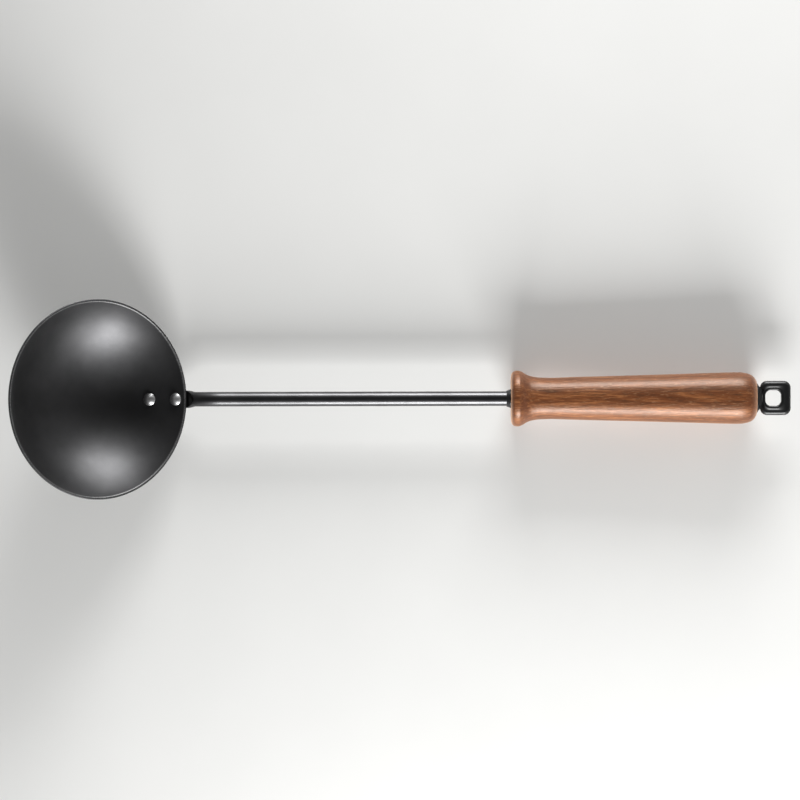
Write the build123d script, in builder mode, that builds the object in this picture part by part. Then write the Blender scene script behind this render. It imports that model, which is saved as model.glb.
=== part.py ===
"""Wok ladle: a steel bowl riveted to a round steel shaft, with a turned wooden grip and a cast hanging loop.

Millimetres and degrees. +X runs along the shaft from the bowl to the loop, +Z is up, and the bowl opens
upwards. The ladle lies as it does on a worktop, on the palm behind its bowl and the bead of its grip, with
Z = 0 there.
"""

import os
from math import acos, asin, cos, degrees, radians, sin, sqrt

from build123d import *

os.makedirs("parts", exist_ok=True)

# ---------------------------------------------------------------- driving dimensions
overall_length = 426.4  # far side of the bowl to the end of the loop

bowl_diameter = 110.0  # over the rim
bowl_depth = 33.0  # rim plane to the outside of the bottom
bowl_wall = 1.4  # sheet thickness
rim_round = 0.45  # both edges of the rim are eased
rim_tilt = 30.7  # rim plane against the shaft; the bowl opens towards the grip

shaft_diameter = 8.0
neck_bend_radius = 32.7  # centre line of the bend that levels the shaft out behind the bowl
neck_length = 5.0  # along the bend, where the round rod is pressed flat
neck_spread = 1.6  # how much wider than the rod the flattened end is where it slips under the rim

palm_thickness = 2.5  # the flattened end, shaped to the back of the bowl
palm_width = 16.0
palm_length = 30.0  # along the back of the bowl, from the rim
palm_shoulder = 15.0  # from the rim to where the palm has its full width
palm_edge_round = 0.8

rivet_shank_diameter = 4.0
rivet_hole_clearance = 0.05  # on the radius
rivet_head_diameter = 6.8
rivet_head_height = 2.0
rivet_head_edge = 0.5  # upright edge under the dome
rivet_tail_diameter = 6.6
rivet_tail_height = 1.0
outer_rivet_from_rim = 6.7  # along the back of the bowl
inner_rivet_from_rim = 22.5

grip_length = 135.0
grip_bore_clearance = 0.15  # on the radius
bead_radius = 15.3  # the bead at the front of the grip, which the ladle lies on
bead_round = 3.0
waist_radius = 11.35
waist_from_front = 21.0
swell_radius = 14.2  # the fat end
swell_from_tail = 10.0
tail_face_radius = 8.9

stop_length = 2.4  # conical ring that stops the grip sliding along the shaft
stop_front_wall = 0.45
stop_back_wall = 1.3

foot_length = 1.9  # flared foot of the loop, against the grip
foot_large_radius = 8.1
foot_small_radius = 6.0
loop_length = 16.8  # the ring itself
loop_width = 18.8
loop_thickness = 6.0
loop_corner = 3.8
loop_edge_round = 1.7
loop_root_length = 3.7  # round core that joins the ring to its foot, around the stud
eye_length = 8.7
eye_width = 8.6
eye_corner = 3.0
eye_edge_round = 0.9
eye_from_grip = 9.1  # middle of the eye

stud_diameter = 4.0
stud_pitch = 0.7
stud_thread_depth = 0.38
stud_clearance = 0.05  # on the radius, in its tapped hole
stud_in_loop = 3.2
stud_in_shaft = 12.0
tapped_hole_spare = 3.0  # depth left past the end of the stud
shaft_end_to_tail = 16.0  # end of the shaft to the tail face of the grip

# ---------------------------------------------------------------- places worked out from them
rim_radius = bowl_diameter / 2
outer_radius = (rim_radius**2 + bowl_depth**2) / (2 * bowl_depth)
inner_radius = outer_radius - bowl_wall
centre_to_rim_plane = outer_radius - bowl_depth
rim_angle = degrees(acos(centre_to_rim_plane / outer_radius))
inner_rim_angle = degrees(acos(centre_to_rim_plane / inner_radius))
neck_angle = rim_angle - rim_tilt  # slope of the bowl's back where the shaft comes out

shaft_radius = shaft_diameter / 2
neck_width = shaft_diameter + neck_spread
palm_mid_radius = outer_radius + palm_thickness / 2
palm_back_radius = outer_radius + palm_thickness
bend_rise = neck_bend_radius * (1 - cos(radians(neck_angle)))
bend_run = neck_bend_radius * sin(radians(neck_angle))

rivet_angles = {
    "rivet_outer": neck_angle - degrees(outer_rivet_from_rim / outer_radius),
    "rivet_inner": neck_angle - degrees(inner_rivet_from_rim / outer_radius),
}
rivet_hole_radius = rivet_shank_diameter / 2 + rivet_hole_clearance
tail_seat = sqrt(palm_back_radius**2 - rivet_hole_radius**2)
tail_dome_radius = ((rivet_tail_diameter / 2) ** 2 + rivet_tail_height**2) / (2 * rivet_tail_height)
tail_dome_centre = tail_seat + rivet_tail_height - tail_dome_radius
inner_tail_reach = tail_dome_centre * cos(radians(rivet_angles["rivet_inner"])) + tail_dome_radius
palm_arc = degrees(palm_length / outer_radius)
palm_tip_reach = palm_back_radius * cos(radians(max(neck_angle - palm_arc, 0.0)))
# from the middle of the bowl's sphere down to the worktop
bowl_reach = max(outer_radius, palm_tip_reach, inner_tail_reach)

axis_over_bowl_foot = bowl_reach - palm_mid_radius * cos(radians(neck_angle)) + bend_rise
axis_z = max(bead_radius, swell_radius, axis_over_bowl_foot)
shaft_axis = Axis((0, 0, axis_z), (1, 0, 0))

loop_end_x = overall_length / 2
far_side_angle = min(rim_angle + rim_tilt, 90.0)
bowl_x = -overall_length / 2 + outer_radius * sin(radians(far_side_angle))
bowl_z = axis_z - axis_over_bowl_foot + bowl_reach
bowl_centre = Vector(bowl_x, 0, bowl_z)
bowl_axis = Vector(sin(radians(rim_tilt)), 0, cos(radians(rim_tilt)))

bend_start_x = bowl_x + palm_mid_radius * sin(radians(neck_angle)) + bend_run
grip_tail_x = loop_end_x - loop_length - foot_length
grip_front_x = grip_tail_x - grip_length
shaft_end_x = grip_tail_x - shaft_end_to_tail

round_bend_angle = neck_angle - degrees(neck_length / neck_bend_radius)


def back_section(angle):
    """Plane through the middle of the bowl's sphere: x runs up the bowl's back, y from wall to middle."""
    a = radians(angle)
    return Plane(origin=bowl_centre, x_dir=(cos(a), 0, sin(a)), z_dir=(0, -1, 0))


def back_normal_plane(angle, radius):
    """Plane lying on the bowl's back at that radius, its z pointing out of the bowl."""
    a = radians(angle)
    outwards = Vector(sin(a), 0, -cos(a))
    return Plane(origin=bowl_centre + outwards * radius, x_dir=(cos(a), 0, sin(a)), z_dir=outwards)


def bend_plane(angle):
    """Plane across the shaft's bend, where its centre line slopes by that angle."""
    a = radians(angle)
    origin = (
        bend_start_x - neck_bend_radius * sin(a),
        0,
        axis_z - neck_bend_radius * (1 - cos(a)),
    )
    return Plane(origin=origin, x_dir=(0, 1, 0), z_dir=(-cos(a), 0, -sin(a)))


# ---------------------------------------------------------------- bowl, pressed from one disc of sheet
with BuildPart() as bowl:
    with BuildSketch(Plane(origin=bowl_centre, x_dir=(bowl_axis.Z, 0, -bowl_axis.X), z_dir=(0, -1, 0))):
        with BuildLine():
            outside = CenterArc((0, 0), outer_radius, -90, rim_angle)
            inside = CenterArc((0, 0), inner_radius, -90, inner_rim_angle)
            rim = Line(outside @ 1, inside @ 1)
            bottom = Line(outside @ 0, inside @ 0)
        wall = make_face()
        rim_corners = wall.vertices().filter_by(lambda corner: corner.X > rim_radius / 2)
        fillet(rim_corners, rim_round)
    revolve(axis=Axis(bowl_centre, bowl_axis))
    for angle in rivet_angles.values():
        with BuildSketch(back_normal_plane(angle, outer_radius)):
            Circle(rivet_hole_radius)
        extrude(amount=2 * bowl_wall, both=True, mode=Mode.SUBTRACT)
bowl.part.label = "bowl"

# ---------------------------------------------------------------- shaft: palm, neck, bend and rod in one piece
palm_mid_angle = neck_angle - palm_arc / 2
palm_half = outer_radius * sin(radians(palm_arc / 2))
palm_spare = palm_thickness  # the outline runs past the rim by this much before it is trimmed there
tip_centre = -palm_half + palm_width / 2

with BuildPart() as shaft:
    with Locations(bowl_centre):
        Sphere(palm_back_radius)
        Sphere(outer_radius, mode=Mode.SUBTRACT)
    with BuildSketch(back_normal_plane(palm_mid_angle, outer_radius - palm_thickness)):
        with BuildLine():
            neck_side = Line((palm_half + palm_spare, neck_width / 2), (palm_half, neck_width / 2))
            shoulder = Spline(
                neck_side @ 1,
                (palm_half - palm_shoulder, palm_width / 2),
                tangents=[(-1, 0), (-1, 0)],
            )
            side = Line(shoulder @ 1, (tip_centre, palm_width / 2))
            ThreePointArc(side @ 1, (-palm_half, 0), (tip_centre, -palm_width / 2))
            mirror(about=Plane.XZ, objects=[neck_side, shoulder, side])
            Line((palm_half + palm_spare, neck_width / 2), (palm_half + palm_spare, -neck_width / 2))
        make_face()
    extrude(amount=3 * palm_thickness, mode=Mode.INTERSECT)
    palm_back = shaft.faces().sort_by(lambda face: (face.center() - bowl_centre).length)[-1]
    fillet(palm_back.edges(), palm_edge_round)
    split(bisect_by=bend_plane(neck_angle), keep=Keep.TOP)
    for angle in rivet_angles.values():
        with BuildSketch(back_normal_plane(angle, outer_radius)):
            Circle(rivet_hole_radius)
        extrude(amount=2 * palm_thickness, both=True, mode=Mode.SUBTRACT)

    palm_end = shaft.faces().sort_by_distance(bend_plane(neck_angle).origin)[0]
    with BuildSketch(bend_plane(round_bend_angle), mode=Mode.PRIVATE) as round_end:
        Circle(shaft_radius)
    loft([palm_end, round_end.sketch.face()])

    with BuildLine(Plane.XZ) as centre_line:
        level = Line((shaft_end_x, axis_z), (bend_start_x, axis_z))
        CenterArc((bend_start_x, axis_z - neck_bend_radius), neck_bend_radius, 90, round_bend_angle)
    with BuildSketch(Plane(origin=(shaft_end_x, 0, axis_z), x_dir=(0, 1, 0), z_dir=(-1, 0, 0))):
        Circle(shaft_radius)
    sweep(path=centre_line.wire())

    with BuildSketch(Plane(origin=(shaft_end_x, 0, axis_z), x_dir=(0, 1, 0), z_dir=(-1, 0, 0))):
        Circle(stud_diameter / 2 + stud_clearance)
    extrude(amount=stud_in_shaft + tapped_hole_spare, mode=Mode.SUBTRACT)
shaft.part.label = "shaft"

# ---------------------------------------------------------------- rivets, domed inside the bowl, closed on the palm
head_seat = sqrt(inner_radius**2 - (rivet_head_diameter / 2) ** 2)


def rivet(name, angle):
    """One rivet: its head's edge touches the inside of the bowl, and its closed tail lies on the palm."""
    with BuildPart() as piece:
        with BuildSketch(back_section(angle)):
            with BuildLine():
                dome_foot = (rivet_head_diameter / 2, -head_seat + rivet_head_edge)
                crown = TangentArc((0, -head_seat + rivet_head_height), dome_foot, tangent=(1, 0))
                tail_rim = (rivet_tail_diameter / 2, -tail_seat)
                Polyline(
                    crown @ 1,
                    (rivet_head_diameter / 2, -head_seat),
                    (rivet_shank_diameter / 2, -head_seat),
                    (rivet_shank_diameter / 2, -tail_seat),
                    tail_rim,
                )
                closed = TangentArc((0, -tail_seat - rivet_tail_height), tail_rim, tangent=(1, 0))
                Line(closed @ 0, crown @ 0)
            make_face()
        revolve(axis=Axis(bowl_centre, back_section(angle).y_dir))
    piece.part.label = name
    return piece.part


rivets = [rivet(name, angle) for name, angle in rivet_angles.items()]

# ---------------------------------------------------------------- stop ring, pressed on the shaft before the grip
with BuildPart() as stop_ring:
    with BuildSketch(Plane.XZ):
        with BuildLine():
            Polyline(
                (grip_front_x, axis_z + shaft_radius),
                (grip_front_x, axis_z + shaft_radius + stop_back_wall),
                (grip_front_x - stop_length, axis_z + shaft_radius + stop_front_wall),
                (grip_front_x - stop_length, axis_z + shaft_radius),
                close=True,
            )
        make_face()
    revolve(axis=shaft_axis)
stop_ring.part.label = "stop_ring"

# ---------------------------------------------------------------- grip, turned from one piece of hardwood
with BuildPart() as grip:
    with BuildSketch(Plane(origin=(grip_front_x, 0, axis_z), x_dir=(1, 0, 0), z_dir=(0, -1, 0))):
        with BuildLine():
            bore_radius = shaft_radius + grip_bore_clearance
            front = Line((0, bore_radius), (0, bead_radius - bead_round))
            bead = CenterArc((bead_round, bead_radius - bead_round), bead_round, 180, -90)
            cove = Spline(
                bead @ 1,
                (waist_from_front * 0.37, waist_radius + (bead_radius - waist_radius) * 0.58),
                (waist_from_front * 0.57, waist_radius + (bead_radius - waist_radius) * 0.15),
                (waist_from_front, waist_radius),
                tangents=[(1, 0), (1, 0)],
            )
            swell = Spline(
                cove @ 1,
                (grip_length - swell_from_tail, swell_radius),
                tangents=[(1, 0), (1, 0)],
            )
            shoulder = Spline(swell @ 1, (grip_length, tail_face_radius), tangents=[(1, 0), (0, -1)])
            Polyline(shoulder @ 1, (grip_length, bore_radius), (0, bore_radius))
        make_face()
    revolve(axis=shaft_axis)
grip.part.label = "grip"

# ---------------------------------------------------------------- hanging loop, cast in one with its flared foot
with BuildPart() as loop:
    ring_middle_x = grip_tail_x + foot_length + loop_length / 2
    with BuildSketch(Plane.XY.offset(axis_z - loop_thickness / 2)):
        with Locations((ring_middle_x, 0)):
            RectangleRounded(loop_length, loop_width, loop_corner)
        with Locations((grip_tail_x + eye_from_grip, 0)):
            RectangleRounded(eye_length, eye_width, eye_corner, mode=Mode.SUBTRACT)
    extrude(amount=loop_thickness)
    flat_faces = loop.faces().filter_by(Axis.Z)
    outer_edges = [face.outer_wire().edges() for face in flat_faces]
    eye_edges = [face.inner_wires()[0].edges() for face in flat_faces]
    fillet([edge for edges in outer_edges for edge in edges], loop_edge_round)
    fillet([edge for edges in eye_edges for edge in edges], eye_edge_round)
    with BuildSketch(Plane(origin=(grip_tail_x, 0, axis_z), x_dir=(0, 1, 0), z_dir=(1, 0, 0))):
        Circle(foot_large_radius)
    with BuildSketch(Plane(origin=(grip_tail_x + foot_length, 0, axis_z), x_dir=(0, 1, 0), z_dir=(1, 0, 0))):
        Circle(foot_small_radius)
    loft()
    with BuildSketch(Plane(origin=(grip_tail_x, 0, axis_z), x_dir=(0, 1, 0), z_dir=(1, 0, 0))):
        Circle(loop_thickness / 2)
    extrude(amount=loop_root_length)
    with BuildSketch(Plane(origin=(grip_tail_x, 0, axis_z), x_dir=(0, 1, 0), z_dir=(1, 0, 0))):
        Circle(stud_diameter / 2)
    extrude(amount=stud_in_loop, mode=Mode.SUBTRACT)
loop.part.label = "hanging_loop"

# ---------------------------------------------------------------- threaded stud, from the loop into the shaft
stud_length = stud_in_loop + shaft_end_to_tail + stud_in_shaft
stud_tip_x = grip_tail_x + stud_in_loop - stud_length
thread_turns = int((stud_length - stud_in_loop) / stud_pitch) - 1
crest = stud_diameter / 2
root = crest - stud_thread_depth

with BuildPart() as stud:
    with BuildSketch(Plane(origin=(stud_tip_x, 0, axis_z), x_dir=(1, 0, 0), z_dir=(0, -1, 0))):
        with BuildLine():
            ridges = [(0, 0), (0, root)]
            for turn in range(thread_turns):
                ridges += [(stud_pitch * (turn + 0.5), crest), (stud_pitch * (turn + 1), root)]
            plain_start = stud_pitch * thread_turns
            ridges += [(plain_start + stud_thread_depth, crest), (stud_length, crest), (stud_length, 0)]
            Polyline(*ridges, close=True)
        make_face()
    revolve(axis=shaft_axis)
stud.part.label = "loop_stud"

pieces = [bowl.part, shaft.part, *rivets, stop_ring.part, grip.part, loop.part, stud.part]
for piece in pieces:
    export_step(piece, f"parts/{piece.label}.step")
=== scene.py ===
import math

import bmesh
import bpy
from mathutils import Matrix, Vector


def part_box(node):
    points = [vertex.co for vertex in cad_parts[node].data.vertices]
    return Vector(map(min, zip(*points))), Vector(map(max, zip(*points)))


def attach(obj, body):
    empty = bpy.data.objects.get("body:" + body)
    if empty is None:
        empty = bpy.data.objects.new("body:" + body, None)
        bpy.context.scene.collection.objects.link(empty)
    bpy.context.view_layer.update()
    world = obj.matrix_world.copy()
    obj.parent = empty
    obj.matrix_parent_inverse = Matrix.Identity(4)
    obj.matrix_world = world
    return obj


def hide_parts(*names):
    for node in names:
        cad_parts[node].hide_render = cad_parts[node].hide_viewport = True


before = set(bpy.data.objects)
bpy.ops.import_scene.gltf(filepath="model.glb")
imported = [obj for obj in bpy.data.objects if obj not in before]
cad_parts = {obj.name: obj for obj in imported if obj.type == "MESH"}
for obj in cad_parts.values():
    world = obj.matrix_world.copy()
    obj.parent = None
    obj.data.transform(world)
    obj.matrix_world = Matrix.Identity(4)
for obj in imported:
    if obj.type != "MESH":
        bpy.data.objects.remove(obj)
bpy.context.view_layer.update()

# Bowl
# One disc of 1.4 mm carbon steel, pressed into part of a ball and riveted to the shaft in two places. The
# cut rim is ground flat, both its corners are eased, and then the whole bowl is blackened in oil.
MM = 0.001
bowl_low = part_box("bowl")[0]
bowl_radius = 62.333 * MM  # the outside's ball
bowl_wall = 1.4 * MM
bowl_depth = 33.0 * MM
rim_ease = 0.45 * MM
rim_tilt = math.radians(30.7)
bowl_middle = Vector((bowl_low.x + bowl_radius, 0.0, bowl_low.z + bowl_radius))


def add_node(tree, kind, links=None, **settings):
    """Adds a node with its settings. Each input is either linked to a socket or set to a value."""
    made = tree.nodes.new(kind)
    for key, value in settings.items():
        setattr(made, key, value)
    for key, value in (links or {}).items():
        if isinstance(value, bpy.types.NodeSocket):
            tree.links.new(value, made.inputs[key])
        else:
            made.inputs[key].default_value = value
    return made


def linear(code):
    """An sRGB hex colour as linear RGBA."""
    parts = [int(code[i : i + 2], 16) / 255 for i in (1, 3, 5)]
    return [p / 12.92 if p <= 0.04045 else ((p + 0.055) / 1.055) ** 2.4 for p in parts] + [1.0]


def start_material(name):
    """A new material, with its tree and its surface shader."""
    made = bpy.data.materials.new(name)
    made.use_nodes = True
    return made, made.node_tree, made.node_tree.nodes["Principled BSDF"]


def add_ramp(tree, amount, stops):
    """A colour ramp's output, from (place, hex colour) stops."""
    ramp = add_node(tree, "ShaderNodeValToRGB", {"Fac": amount})
    while len(ramp.color_ramp.elements) < len(stops):
        ramp.color_ramp.elements.new(0.5)
    for element, (place, code) in zip(ramp.color_ramp.elements, stops):
        element.position = place
        element.color = linear(code)
    return ramp.outputs["Color"]


def blued_steel(name, grain, dull, relief):
    """Carbon steel under a black oxide skin, dull and faintly cloudy, and lighter where wear has rubbed it.

    It reflects like metal, but only about a tenth of the light: its highlights are soft and grey.
    """
    made, tree, surface = start_material(name)
    place = add_node(tree, "ShaderNodeTexCoord").outputs["Object"]
    cloud = add_node(tree, "ShaderNodeTexNoise", {"Vector": place, "Scale": 1 / (18 * MM), "Detail": 3.0})
    fine = add_node(tree, "ShaderNodeTexNoise", {"Vector": place, "Scale": 1 / grain, "Detail": 2.0})
    skin = add_ramp(tree, cloud.outputs["Fac"], [(0.3, "#4b4b4c"), (0.7, "#575758")])
    wear = add_node(tree, "ShaderNodeAttribute", attribute_name="mark")
    rubbed = add_node(
        tree, "ShaderNodeMath", {0: wear.outputs["Fac"], 1: fine.outputs["Fac"]}, operation="MULTIPLY"
    )
    bare = add_node(
        tree,
        "ShaderNodeMapRange",
        {"Value": rubbed.outputs[0], "From Min": 0.2, "From Max": 0.7, "To Min": 0.0, "To Max": 0.5},
    )
    colour = add_node(
        tree,
        "ShaderNodeMix",
        {"Factor": bare.outputs["Result"], 6: skin, 7: linear("#b8b8b8")},
        data_type="RGBA",
    )
    tree.links.new(colour.outputs[2], surface.inputs["Base Color"])
    spread = add_node(
        tree,
        "ShaderNodeMapRange",
        {
            "Value": fine.outputs["Fac"],
            "From Min": 0.3,
            "From Max": 0.7,
            "To Min": dull - 0.03,
            "To Max": dull + 0.03,
        },
    )
    tree.links.new(spread.outputs["Result"], surface.inputs["Roughness"])
    bump = add_node(
        tree, "ShaderNodeBump", {"Height": fine.outputs["Fac"], "Strength": relief, "Distance": 0.03 * MM}
    )
    tree.links.new(bump.outputs["Normal"], surface.inputs["Normal"])
    surface.inputs["Metallic"].default_value = 1.0
    return made


def arc(middle, radius, start, end, steps):
    """Points along an arc in the profile's plane, between two angles in degrees."""
    angles = [math.radians(start + (end - start) * i / steps) for i in range(steps + 1)]
    return [(middle[0] + radius * math.cos(a), middle[1] + radius * math.sin(a)) for a in angles]


def finish_mesh(name, mesh):
    """Makes a bmesh a smooth-shaded object at the origin, with its faces pointing outwards."""
    bmesh.ops.recalc_face_normals(mesh, faces=mesh.faces)
    data = bpy.data.meshes.new(name)
    mesh.to_mesh(data)
    mesh.free()
    data.shade_smooth()
    made = bpy.data.objects.new(name, data)
    bpy.context.scene.collection.objects.link(made)
    return made


def turned(name, profile, place, around, closed=False, marks=()):
    """A shape spun about place's z axis from (radius, height) points.

    Closed joins the last ring to the first. Marks say how worn or stained each ring is, or how much painted
    shade it takes, from 0 to 1.
    """
    mesh = bmesh.new()
    mark = mesh.verts.layers.float.new("mark")
    turns = [2 * math.pi * i / around for i in range(around)]
    rings = []
    for radius, height in profile:
        if radius < 1e-7:
            rings.append([mesh.verts.new(place @ Vector((0, 0, height)))])
        else:
            points = [Vector((radius * math.cos(t), radius * math.sin(t), height)) for t in turns]
            rings.append([mesh.verts.new(place @ point) for point in points])
    for ring, amount in zip(rings, marks):
        for vert in ring:
            vert[mark] = amount
    for near, far in list(zip(rings, rings[1:])) + ([(rings[-1], rings[0])] if closed else []):
        for i in range(around):
            j = (i + 1) % around
            corners = [near[i % len(near)], near[j % len(near)], far[j % len(far)], far[i % len(far)]]
            mesh.faces.new(list(dict.fromkeys(corners)))
    return finish_mesh(name, mesh)


inner_radius = bowl_radius - bowl_wall
rim_level = bowl_depth - bowl_radius  # from the ball's middle, along the bowl's axis
rim_angle = math.degrees(math.acos(-rim_level / bowl_radius))


def rim_rounding(reach):
    """The middle of the rounding that lies reach from the ball's middle, and its direction in degrees."""
    middle = (math.sqrt(reach**2 - (rim_level - rim_ease) ** 2), rim_level - rim_ease)
    return middle, math.degrees(math.atan2(middle[1], middle[0]))


outer_rounding, outer_end = rim_rounding(bowl_radius - rim_ease)
inner_rounding, inner_end = rim_rounding(inner_radius + rim_ease)
# each stretch of the section, from the bottom's outside over the rim to the bottom's inside, and its wear
bowl_section = [
    (arc((0, 0), bowl_radius, -90, outer_end, 70), 0.0),
    (arc(outer_rounding, rim_ease, outer_end, 90, 8)[1:], 0.3),
    (arc(inner_rounding, rim_ease, 90, 180 + inner_end, 8), 1.0),
    (arc((0, 0), inner_radius, inner_end, -90, 70)[1:], 0.0),
]
bowl_profile = [(max(radius, 0.0), height) for points, _ in bowl_section for radius, height in points]
bowl_wear = [amount for points, amount in bowl_section for _ in points]
bowl_place = Matrix.Translation(bowl_middle) @ Matrix.Rotation(rim_tilt, 4, "Y")
bowl = turned("bowl_pressing", bowl_profile, bowl_place, 288, marks=bowl_wear)
bowl.data.materials.append(blued_steel("blued_carbon_steel_satin", 0.6 * MM, 0.48, 0.1))
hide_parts("bowl")
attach(bowl, "root")

# Shaft
# One 8 mm steel rod, forged flat at one end into a palm that hugs the back of the bowl and is riveted to it.
# Past the rim it is round again and bends up to level. It is blackened, over the smoother skin of drawn rod.
shaft_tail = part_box("shaft")[1].x
grip_low, grip_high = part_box("grip")
shaft_level = (grip_low.z + grip_high.z) / 2
rod_radius = 4.0 * MM
palm_half = 1.25 * MM  # half the palm's thickness
palm_width = 8.0 * MM  # half the palm's width over the rivets, and its tip's radius
neck_width = 4.8 * MM  # half the width at the rim
palm_length = 30.0 * MM
palm_shoulder = 15.0 * MM
neck_length = 5.0 * MM
neck_bend = 32.7 * MM
flat_ease = 0.3 * MM  # how far the edge between flat and round is rubbed over
bend_angle = math.radians(rim_angle) - rim_tilt
palm_radius = bowl_radius + palm_half
bend_start = bowl_middle.x + (palm_radius + neck_bend) * math.sin(bend_angle)
bend_length = neck_bend * bend_angle
shaft_length = bend_length + shaft_tail - bend_start
shaft_around = 192
blend_end = 1.6 * neck_length  # past the flat zone, where wide steps are fine again


def smooth(value):
    """0 to 1 with no kink at either end."""
    value = min(max(value, 0.0), 1.0)
    return value * value * (3 - 2 * value)


def shaft_half_width(way):
    """Half the shaft's width. Way is measured from the rim: the palm is behind it and the rod ahead."""
    if way >= 0:
        return neck_width + (rod_radius - neck_width) * smooth(way / neck_length)
    half = neck_width + (palm_width - neck_width) * smooth(-way / palm_shoulder)
    from_tip = palm_length + way
    if from_tip < palm_width:
        half *= math.sqrt(max(1 - (1 - from_tip / palm_width) ** 2, 0.0))
    return half


def shaft_station(way):
    """The shaft's middle at way, its slope, and how far its flats still follow the ball of the bowl."""
    if way < 0:
        angle = bend_angle + way / palm_radius
        return bowl_middle + palm_radius * Vector((math.sin(angle), 0, -math.cos(angle))), angle, 1.0
    if way < bend_length:
        angle = bend_angle - way / neck_bend
        centre = Vector((bend_start, 0, shaft_level - neck_bend))
        along = centre + neck_bend * Vector((-math.sin(angle), 0, math.cos(angle)))
        return along, angle, 1 - smooth(way / neck_length)
    return Vector((bend_start + way - bend_length, 0, shaft_level)), 0.0, 0.0


def even(start, end, steps):
    """Evenly spaced values after start, up to and with end."""
    return [start + (end - start) * i / steps for i in range(1, steps + 1)]


shaft_ways = [-palm_length + palm_width * (1 - math.cos(math.pi / 2 * i / 14)) for i in range(15)]
shaft_ways += even(palm_width - palm_length, 0.0, 26) + even(0.0, blend_end, 40)
shaft_ways += even(blend_end, bend_length, 20) + even(bend_length, shaft_length, 60)
shaft_mesh = bmesh.new()
shaft_wear = shaft_mesh.verts.layers.float.new("mark")
shaft_rings = []
for way in shaft_ways:
    middle, angle, hug = shaft_station(way)
    up = Vector((-math.sin(angle), 0, math.cos(angle)))
    flat = palm_half + (rod_radius - palm_half) * max(way, 0.0) / neck_length
    ring = []
    for i in range(shaft_around):
        turn = 2 * math.pi * i / shaft_around
        across = shaft_half_width(way) * math.cos(turn)
        rise = rod_radius * math.sin(turn)
        blend = max(flat_ease - abs(abs(rise) - flat), 0.0) / flat_ease
        rise = math.copysign(min(abs(rise), flat) - blend * blend * flat_ease / 4, rise)
        sag = palm_radius - math.sqrt(palm_radius**2 - across**2)
        vert = shaft_mesh.verts.new(middle + up * (rise + sag * hug) + Vector((0, across, 0)))
        vert[shaft_wear] = blend if way < neck_length else 0.0
        ring.append(vert)
    shaft_rings.append(ring)
for back, ahead in zip(shaft_rings, shaft_rings[1:]):
    for i in range(shaft_around):
        j = (i + 1) % shaft_around
        shaft_mesh.faces.new((back[i], back[j], ahead[j], ahead[i]))
shaft_mesh.faces.new(shaft_rings[0])
shaft_mesh.faces.new(shaft_rings[-1])
bmesh.ops.remove_doubles(shaft_mesh, verts=shaft_mesh.verts, dist=1e-7)
shaft = finish_mesh("shaft_rod", shaft_mesh)
rod_steel = blued_steel("blued_steel_drawn_rod", 0.8 * MM, 0.35, 0.03)
shaft.data.materials.append(rod_steel)
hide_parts("shaft")
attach(shaft, "root")

# Rivets
# Two solid steel rivets with domed heads inside the bowl. They go through bowl and palm, are closed into low
# domes behind them, and are polished, so they are the only bright metal in sight.
rivet_sizes = {
    "Head radius": 3.4 * MM,
    "Head height": 2.0 * MM,
    "Head edge": 0.5 * MM,
    "Tail radius": 3.3 * MM,
    "Tail height": 1.0 * MM,
    "Tail edge": 0.1 * MM,
    "Shank radius": 2.0 * MM,
    "Head seat": math.sqrt(inner_radius**2 - (3.4 * MM) ** 2),
    "Tail seat": palm_radius + palm_half,
}
rivets_from_rim = [22.5 * MM, 6.7 * MM]  # along the back of the bowl

# Polished mild steel: nearly white and mirror-like, with the small waves that a hammer and a cloth leave.
rivet_steel, tree, surface = start_material("polished_steel_rivet")
place = add_node(tree, "ShaderNodeTexCoord").outputs["Object"]
marks = add_node(tree, "ShaderNodeTexNoise", {"Vector": place, "Scale": 1 / (0.7 * MM), "Detail": 3.0})
tree.links.new(
    add_ramp(tree, marks.outputs["Fac"], [(0.0, "#cacacb"), (1.0, "#e6e6e6")]), surface.inputs["Base Color"]
)
polish = add_node(
    tree, "ShaderNodeMapRange", {"Value": marks.outputs["Fac"], "To Min": 0.36, "To Max": 0.44}
)
tree.links.new(polish.outputs["Result"], surface.inputs["Roughness"])
surface.inputs["Metallic"].default_value = 1.0

rivet_tree = bpy.data.node_groups.new("rivets_on_seats", "GeometryNodeTree")
rivet_tree.interface.new_socket("Seats", in_out="INPUT", socket_type="NodeSocketGeometry")
rivet_sockets = {
    label: rivet_tree.interface.new_socket(label, in_out="INPUT", socket_type="NodeSocketFloat").identifier
    for label in rivet_sizes
}
finish_socket = rivet_tree.interface.new_socket("Finish", in_out="INPUT", socket_type="NodeSocketMaterial")
rivet_tree.interface.new_socket("Rivets", in_out="OUTPUT", socket_type="NodeSocketGeometry")
given = add_node(rivet_tree, "NodeGroupInput").outputs


def maths(operation, *values):
    """One sum in the rivets' tree."""
    return add_node(rivet_tree, "ShaderNodeMath", dict(enumerate(values)), operation=operation).outputs[0]


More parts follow.
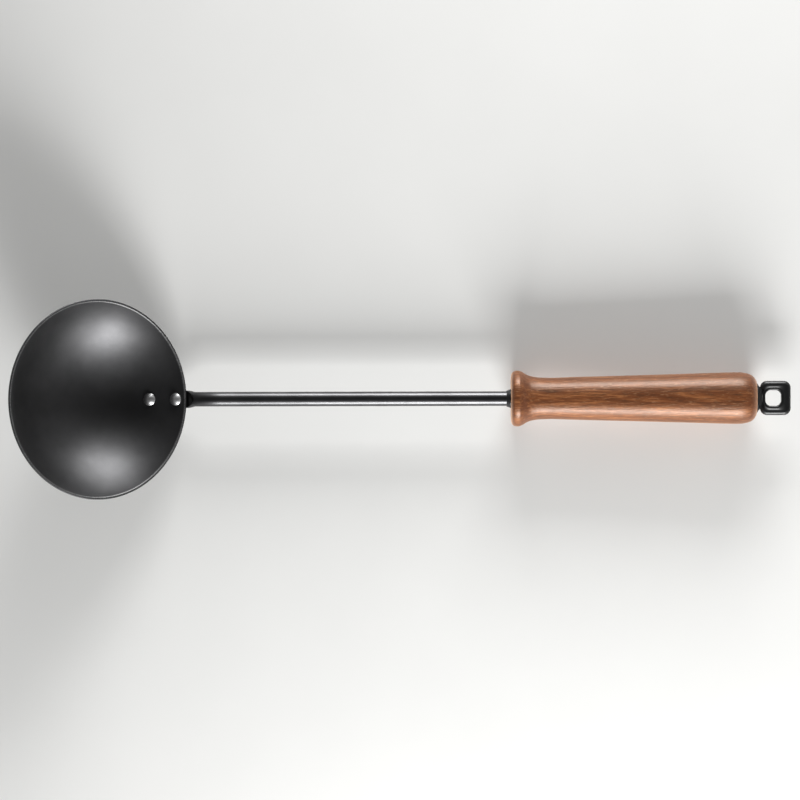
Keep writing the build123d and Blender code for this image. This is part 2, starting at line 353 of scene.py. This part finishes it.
def dome(end, way):
    """The rivet's head or tail, made from a ball: an upright edge and a crown over a flat seat."""
    ball = add_node(rivet_tree, "GeometryNodeMeshUVSphere", {"Segments": 64, "Rings": 64, "Radius": 1.0})
    where = add_node(rivet_tree, "GeometryNodeInputPosition")
    parts = add_node(rivet_tree, "ShaderNodeSeparateXYZ", {"Vector": where.outputs[0]})
    ball_x, ball_y, ball_z = parts.outputs
    edge = given[f"{end} edge"]
    upper = maths("MAXIMUM", ball_z, 0.0)
    above_edge = maths("SUBTRACT", given[f"{end} height"], edge)
    crown = maths("MULTIPLY", maths("MULTIPLY", upper, upper), above_edge)
    over_seat = maths("MULTIPLY_ADD", maths("GREATER_THAN", ball_z, -0.02), edge, crown)
    put = add_node(
        rivet_tree,
        "ShaderNodeCombineXYZ",
        {
            "X": maths("MULTIPLY", ball_x, given[f"{end} radius"]),
            "Y": maths("MULTIPLY", ball_y, given[f"{end} radius"]),
            "Z": maths("MULTIPLY_ADD", over_seat, float(way), given[f"{end} seat"]),
        },
    )
    shape = add_node(
        rivet_tree, "GeometryNodeSetPosition", {"Geometry": ball.outputs["Mesh"], "Position": put.outputs[0]}
    )
    if way < 0:  # turned upside down, its faces point inwards
        shape = add_node(rivet_tree, "GeometryNodeFlipFaces", {"Mesh": shape.outputs[0]})
    return shape.outputs[0]


between_seats = maths("SUBTRACT", given["Tail seat"], given["Head seat"])
shank = add_node(
    rivet_tree,
    "GeometryNodeMeshCylinder",
    {"Vertices": 48, "Radius": given["Shank radius"], "Depth": between_seats},
)
halfway = maths("MULTIPLY_ADD", between_seats, 0.5, given["Head seat"])
shank_at = add_node(rivet_tree, "ShaderNodeCombineXYZ", {"Z": halfway})
shank_put = add_node(
    rivet_tree,
    "GeometryNodeTransform",
    {"Geometry": shank.outputs["Mesh"], "Translation": shank_at.outputs[0]},
)
one_rivet = add_node(rivet_tree, "GeometryNodeJoinGeometry")
for part in (dome("Head", -1), dome("Tail", 1), shank_put.outputs[0]):
    rivet_tree.links.new(part, one_rivet.inputs[0])
outward = add_node(
    rivet_tree, "GeometryNodeInputNamedAttribute", {"Name": "outward"}, data_type="FLOAT_VECTOR"
)
aimed = add_node(rivet_tree, "FunctionNodeAlignRotationToVector", {"Vector": outward.outputs[0]}, axis="Z")
smoothed = add_node(rivet_tree, "GeometryNodeSetShadeSmooth", {"Geometry": one_rivet.outputs[0]})
placed = add_node(
    rivet_tree,
    "GeometryNodeInstanceOnPoints",
    {"Points": given["Seats"], "Instance": smoothed.outputs[0], "Rotation": aimed.outputs[0]},
)
real = add_node(rivet_tree, "GeometryNodeRealizeInstances", {"Geometry": placed.outputs[0]})
coated = add_node(
    rivet_tree, "GeometryNodeSetMaterial", {"Geometry": real.outputs[0], "Material": given["Finish"]}
)
rivet_out = add_node(rivet_tree, "NodeGroupOutput")
rivet_tree.links.new(coated.outputs[0], rivet_out.inputs[0])

seat_data = bpy.data.meshes.new("rivet_seats")
seat_data.from_pydata([bowl_middle] * len(rivets_from_rim), [], [])
seat_ways = seat_data.attributes.new("outward", "FLOAT_VECTOR", "POINT")
for item, from_rim in zip(seat_ways.data, rivets_from_rim):
    angle = bend_angle - from_rim / bowl_radius
    item.vector = (math.sin(angle), 0, -math.cos(angle))
rivet_seats = bpy.data.objects.new("rivet_seats", seat_data)
bpy.context.scene.collection.objects.link(rivet_seats)
setter = rivet_seats.modifiers.new("rivets", "NODES")
setter.node_group = rivet_tree
for label, value in rivet_sizes.items():
    setter[rivet_sockets[label]] = value
setter[finish_socket.identifier] = rivet_steel
shown = rivet_seats.evaluated_get(bpy.context.evaluated_depsgraph_get())
rivets = bpy.data.objects.new("rivets", bpy.data.meshes.new_from_object(shown))
bpy.context.scene.collection.objects.link(rivets)
bpy.data.objects.remove(rivet_seats)
for index in reversed(range(len(rivets.data.materials))):
    if rivets.data.materials[index] is None:  # the tree's plain shapes bring an empty slot
        rivets.data.materials.pop(index=index)
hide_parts("rivet_inner", "rivet_outer")
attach(rivets, "root")

# Stop ring
# A short cone of the same black steel with broken edges. It is pressed on the rod where the grip begins, so
# that the wood can't creep forwards.
ring_low, ring_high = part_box("stop_ring")
ring_length = ring_high.x - ring_low.x
ring_front = rod_radius + 0.45 * MM
ring_back = rod_radius + 1.3 * MM
ring_ease = 0.15 * MM
along_x = Matrix(((0, 0, 1, 0), (0, 1, 0, 0), (-1, 0, 0, 0), (0, 0, 0, 1)))  # turns a profile's z axis to +X
ring_profile = [(rod_radius, 0.0), (ring_front - ring_ease, 0.0), (ring_front, ring_ease)]
ring_profile += [
    (radius, height)
    for radius, height in zip(even(ring_front, ring_back, 6), even(ring_ease, ring_length - ring_ease, 6))
]
ring_profile += [(ring_back - ring_ease, ring_length), (rod_radius, ring_length)]
ring_place = Matrix.Translation((ring_low.x, 0, shaft_level)) @ along_x
stop_ring = turned("stop_ring_cone", ring_profile, ring_place, 96, closed=True)
stop_ring.data.materials.append(rod_steel)
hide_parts("stop_ring")
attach(stop_ring, "root")

# Grip
# Turned on a lathe from one piece of reddish hardwood: a bead in front, a cove behind it, a long swell and a
# round tail. It is bored, driven on to the rod, sanded, and lacquered satin.
bore_radius = 4.15 * MM
bore_ease = 0.3 * MM
grip_length = grip_high.x - grip_low.x
# (from the front, radius), in millimetres
grip_shape = [
    (0.0, 11.6), (0.15, 12.8), (0.6, 14.0), (1.4, 14.85), (2.4, 15.18), (3.7, 15.3), (4.8, 15.2),
    (5.6, 14.85), (6.6, 14.35), (8.0, 13.45), (9.4, 12.75), (11.2, 12.2), (14.6, 11.6), (19.0, 11.4),
    (23.4, 11.36), (36.6, 11.8), (67.5, 12.6), (102.7, 13.6), (116.0, 14.0), (123.0, 14.18), (126.0, 14.12),
    (128.4, 13.82), (130.6, 13.3), (132.2, 12.6), (133.5, 11.5), (134.4, 10.2), (134.9, 9.1), (135.0, 8.6),
]


def through(points, steps):
    """A smooth line through points, with the same number of steps in each gap."""
    line = []
    for i in range(len(points) - 1):
        a, b, c, d = (points[min(max(k, 0), len(points) - 1)] for k in (i - 1, i, i + 1, i + 2))
        gap = c[0] - b[0]
        leave = (c[1] - a[1]) / (c[0] - a[0]) * gap
        arrive = (d[1] - b[1]) / (d[0] - b[0]) * gap
        for t in (j / steps for j in range(steps)):
            radius = (2 * t**3 - 3 * t**2 + 1) * b[1] + (t**3 - 2 * t**2 + t) * leave
            radius += (3 * t**2 - 2 * t**3) * c[1] + (t**3 - t**2) * arrive
            line.append((b[0] + gap * t, radius))
    return line + [points[-1]]


grip_profile = [(bore_radius, 0.0), (bore_radius + bore_ease, 0.0)]
grip_profile += [
    (radius * MM, way / grip_shape[-1][0] * grip_length) for way, radius in through(grip_shape, 5)
]
grip_profile += [(bore_radius + bore_ease, grip_length), (bore_radius, grip_length)]
grip_place = Matrix.Translation((grip_low.x, 0, shaft_level)) @ along_x
# how far the surface is turned across the fibres at each place along the profile
end_grain = []
for before, after in zip(grip_profile[-1:] + grip_profile, grip_profile[1:] + grip_profile[:1]):
    rise = abs(after[0] - before[0])
    end_grain.append(rise / math.hypot(rise, after[1] - before[1]))
grip = turned("wood_grip", grip_profile, grip_place, 192, closed=True, marks=end_grain)

# Lacquered reddish hardwood, such as sapele: dark brown with redder and paler streaks along the grain. Short
# open pores break up the satin lacquer's shine. Where the profile turns across the fibres, in the cove and
# on the tail, the end grain is darker with more stain, and the cove's darker tone is also painted shade
# behind the bead. Pores and flecks are drawn about twice as coarse as real ones.
wood, tree, surface = start_material("lacquered_red_hardwood")
place = add_node(tree, "ShaderNodeTexCoord").outputs["Object"]
figure = {}
for label, along, across, detail, waver in (
    ("bands", 110.0, 9.0, 3.0, 1.2),
    ("streaks", 18.0, 1.3, 5.0, 0.8),
    ("pores", 6.0, 0.75, 2.0, 0.0),
    ("flecks", 4.0, 0.65, 2.0, 0.0),
):  # each one's length along the grain and width across it, in millimetres
    stretched = add_node(
        tree,
        "ShaderNodeMapping",
        {"Vector": place, "Scale": (1 / (along * MM), 1 / (across * MM), 1 / (across * MM))},
    )
    figure[label] = add_node(
        tree,
        "ShaderNodeTexNoise",
        {
            "Vector": stretched.outputs[0],
            "Scale": 1.0,
            "Detail": detail,
            "Roughness": 0.6,
            "Distortion": waver,
        },
    ).outputs["Fac"]
both = add_node(tree, "ShaderNodeMath", {0: figure["bands"], 1: figure["streaks"]}, operation="ADD")
shade = add_node(tree, "ShaderNodeMath", {0: both.outputs[0], 1: 0.5}, operation="MULTIPLY")
tint = add_ramp(tree, shade.outputs[0], [(0.36, "#3a1808"), (0.5, "#66361a"), (0.64, "#9d643b")])
for label, low, high, most, code in (
    ("pores", 0.52, 0.64, 0.6, "#331a0d"),
    ("flecks", 0.56, 0.72, 0.35, "#b98c68"),
):
    amount = add_node(
        tree,
        "ShaderNodeMapRange",
        {"Value": figure[label], "From Min": low, "From Max": high, "To Max": most},
    )
    tint = add_node(
        tree,
        "ShaderNodeMix",
        {"Factor": amount.outputs["Result"], 6: tint, 7: linear(code)},
        data_type="RGBA",
    ).outputs[2]
# Darker where the profile turns across the fibres: end grain takes more stain, and in the cove behind the
# bead this darkening is painted shade.
endways = add_node(tree, "ShaderNodeAttribute", attribute_name="mark").outputs["Fac"]
stain_and_shade = add_node(
    tree, "ShaderNodeMapRange", {"Value": endways, "From Min": 0.12, "From Max": 0.6, "To Max": 0.6}
)
tint = add_node(
    tree,
    "ShaderNodeMix",
    {"Factor": stain_and_shade.outputs["Result"], 6: tint, 7: linear("#45190a")},
    data_type="RGBA",
).outputs[2]
tree.links.new(tint, surface.inputs["Base Color"])
pitted = add_node(tree, "ShaderNodeBump", {"Height": figure["pores"], "Strength": 0.8, "Distance": 0.1 * MM})
ribbed = add_node(
    tree,
    "ShaderNodeBump",
    {
        "Height": figure["streaks"],
        "Strength": 0.6,
        "Distance": 0.15 * MM,
        "Normal": pitted.outputs["Normal"],
    },
)
for socket in ("Normal", "Coat Normal"):
    tree.links.new(ribbed.outputs["Normal"], surface.inputs[socket])
surface.inputs["Roughness"].default_value = 0.48
surface.inputs["Specular IOR Level"].default_value = 0.6
surface.inputs["Specular Tint"].default_value = linear("#ffc294")
surface.inputs["Sheen Weight"].default_value = 0.7
surface.inputs["Sheen Roughness"].default_value = 0.45
surface.inputs["Sheen Tint"].default_value = linear("#ffc8a0")
surface.inputs["Coat Weight"].default_value = 0.3
surface.inputs["Coat Roughness"].default_value = 0.28
grip.data.materials.append(wood)
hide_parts("grip")
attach(grip, "root")

# Hanging loop
# A small casting in black paint, screwed against the end of the wood by a stud. A flared foot caps the wood,
# and behind it is a rounded square ring with a rounded square eye, with a low bead round it.
loop_low, loop_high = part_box("hanging_loop")
foot_length = 1.9 * MM
foot_profile = [
    (0.0, 0.0), (7.85, 0.0), (8.05, 0.06), (8.1, 0.2), (7.9, 0.5), (6.9, 1.1), (6.3, 1.6), (6.0, 2.0),
    (5.6, 2.5), (4.6, 3.0), (3.0, 3.3), (0.0, 3.4),
]  # (radius, from the wood), in millimetres; its end is inside the ring
ring_half_height = 3.0 * MM
ring_size = (loop_high.x - loop_low.x - foot_length, loop_high.y - loop_low.y)
ring_corner = 3.8 * MM
ring_round = 2.2 * MM
ring_middle = ((loop_low.x + foot_length + loop_high.x) / 2, 0.0)
eye_size = (8.7 * MM, 8.6 * MM)
eye_corner = 3.0 * MM
eye_round = 1.1 * MM
eye_middle = (loop_low.x + 9.1 * MM, 0.0)
bead_width = 1.7 * MM
bead_height = 0.35 * MM


def rounded_square(middle, size, corner, height, per_corner=14, per_side=6):
    """Points round a rounded square. Their number and order don't depend on its size."""
    half = (size[0] / 2 - corner, size[1] / 2 - corner)
    corners = []
    for quarter, (side_x, side_y) in enumerate(((1, 1), (-1, 1), (-1, -1), (1, -1))):
        turns = [math.pi / 2 * (quarter + i / per_corner) for i in range(per_corner + 1)]
        centre = Vector((middle[0] + side_x * half[0], middle[1] + side_y * half[1], height))
        corners.append([centre + corner * Vector((math.cos(t), math.sin(t), 0)) for t in turns])
    points = []
    for this, following in zip(corners, corners[1:] + corners[:1]):
        points += this + [this[-1].lerp(following[0], i / per_side) for i in range(1, per_side)]
    return points


# the ring's half section, from its widest place to the eye's wall: rounded squares, and how deep each lies
half_section = []
for i in range(10):
    turn = math.pi / 2 * i / 9
    inset = ring_round * (1 - math.cos(turn))
    drop = bead_height + ring_round * (1 - math.sin(turn))
    half_section.append((ring_middle, [side - 2 * inset for side in ring_size], ring_corner - inset, drop))
for i in range(16, -1, -1):
    turn = math.pi * i / 16
    outset = bead_width / 2 * (1 - math.cos(turn))
    drop = (bead_height if turn > math.pi / 2 else eye_round) * (1 - math.sin(turn))
    half_section.append((eye_middle, [side + 2 * outset for side in eye_size], eye_corner + outset, drop))
loop_mesh = bmesh.new()
loop_rings = []
for way, section in ((1, half_section), (-1, half_section[::-1])):
    for middle, size, corner, drop in section:
        points = rounded_square(middle, size, corner, shaft_level + way * (ring_half_height - drop))
        loop_rings.append([loop_mesh.verts.new(point) for point in points])
for near, far in zip(loop_rings, loop_rings[1:] + loop_rings[:1]):
    for i in range(len(near)):
        j = (i + 1) % len(near)
        loop_mesh.faces.new((near[i], near[j], far[j], far[i]))
foot_place = Matrix.Translation((loop_low.x, 0, shaft_level)) @ along_x
foot = turned("loop_foot", [(radius * MM, height * MM) for radius, height in foot_profile], foot_place, 128)
loop_mesh.from_mesh(foot.data)
bpy.data.objects.remove(foot)
loop = finish_mesh("hanging_loop_casting", loop_mesh)

# Black enamel paint on a casting: almost no colour of its own, a half-gloss shine, and a slow ripple where
# the paint has flowed.
enamel, tree, surface = start_material("black_enamel_on_casting")
place = add_node(tree, "ShaderNodeTexCoord").outputs["Object"]
flow = add_node(tree, "ShaderNodeTexNoise", {"Vector": place, "Scale": 1 / (2.5 * MM), "Detail": 2.0})
tree.links.new(
    add_ramp(tree, flow.outputs["Fac"], [(0.0, "#060607"), (1.0, "#0c0c0d")]), surface.inputs["Base Color"]
)
gloss = add_node(tree, "ShaderNodeMapRange", {"Value": flow.outputs["Fac"], "To Min": 0.36, "To Max": 0.48})
tree.links.new(gloss.outputs["Result"], surface.inputs["Roughness"])
ripple = add_node(
    tree, "ShaderNodeBump", {"Height": flow.outputs["Fac"], "Strength": 0.25, "Distance": 0.1 * MM}
)
tree.links.new(ripple.outputs["Normal"], surface.inputs["Normal"])
loop.data.materials.append(enamel)
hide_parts("hanging_loop")
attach(loop, "root")

# Loop stud
# The threaded steel stud that is screwed into the rod's end and holds the loop on. It is out of sight inside
# the wood and the rod, so its CAD shape is kept, in the rivets' bright steel.
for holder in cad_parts["loop_stud"].material_slots:
    holder.material = rivet_steel

# Studio
# A pale matt table, two soft boxes low on either side of the ladle, dim air that is lighter near the
# horizon, and a camera with a long lens looking straight down.
table_reach = 12.0
corners = [(x * table_reach, y * table_reach, 0) for x, y in ((-1, -1), (1, -1), (1, 1), (-1, 1))]
table_data = bpy.data.meshes.new("table")
table_data.from_pydata(corners, [], [(0, 1, 2, 3)])
table = bpy.data.objects.new("table", table_data)
bpy.context.scene.collection.objects.link(table)

# Matt white paint, with a faint unevenness from the roller: soft shadows and no shine.
table_paint, tree, surface = start_material("matt_table_paint")
place = add_node(tree, "ShaderNodeTexCoord").outputs["Object"]
rolled = add_node(tree, "ShaderNodeTexNoise", {"Vector": place, "Scale": 1 / (60 * MM), "Detail": 3.0})
tree.links.new(
    add_ramp(tree, rolled.outputs["Fac"], [(0.3, "#e3e3e1"), (0.7, "#e5e5e3")]), surface.inputs["Base Color"]
)
surface.inputs["Roughness"].default_value = 0.9
table_data.materials.append(table_paint)

air = bpy.data.worlds.new("studio_air")
air.use_nodes = True
sky_way = add_node(air.node_tree, "ShaderNodeTexCoord")
sky_parts = add_node(air.node_tree, "ShaderNodeSeparateXYZ", {"Vector": sky_way.outputs["Generated"]})
sky_fall = add_node(
    air.node_tree,
    "ShaderNodeMapRange",
    {"Value": sky_parts.outputs["Z"], "From Min": 0.0, "From Max": 0.85, "To Min": 0.42, "To Max": 0.06},
)
backdrop = air.node_tree.nodes["Background"]
backdrop.inputs["Color"].default_value = (1, 1, 1, 1)
air.node_tree.links.new(sky_fall.outputs["Result"], backdrop.inputs["Strength"])
bpy.context.scene.world = air


def soft_box(name, side, elevation, watts, away=1.1, along=0.19, length=0.6, height=0.42):
    """A soft box beside the ladle, on the +Y or -Y side, aimed level along X at a place on the ladle."""
    data = bpy.data.lights.new(name, "AREA")
    data.shape = "RECTANGLE"
    data.size, data.size_y = height, length
    data.energy = watts
    data.spread = math.radians(130)
    made = bpy.data.objects.new(name, data)
    angle = math.radians(elevation)
    made.location = (along, side * away * math.cos(angle), away * math.sin(angle))
    made.rotation_euler = (Vector((along, 0, 0)) - made.location).to_track_quat("-Z", "X").to_euler()
    bpy.context.scene.collection.objects.link(made)


soft_box("soft_box_far", 1, 15, 9.4)
soft_box("soft_box_near", -1, 20, 12.0)

camera_data = bpy.data.cameras.new("camera")
camera_data.sensor_width = 36.0
camera_data.lens = 244.35
camera_data.clip_end = 50.0
camera = bpy.data.objects.new("camera", camera_data)
camera.location = (-0.0015, -0.00066, 3.0)
camera.rotation_euler = (0, 0, math.radians(-0.127))
bpy.context.scene.collection.objects.link(camera)
bpy.context.scene.camera = camera
bpy.context.scene.view_settings.view_transform = "Standard"
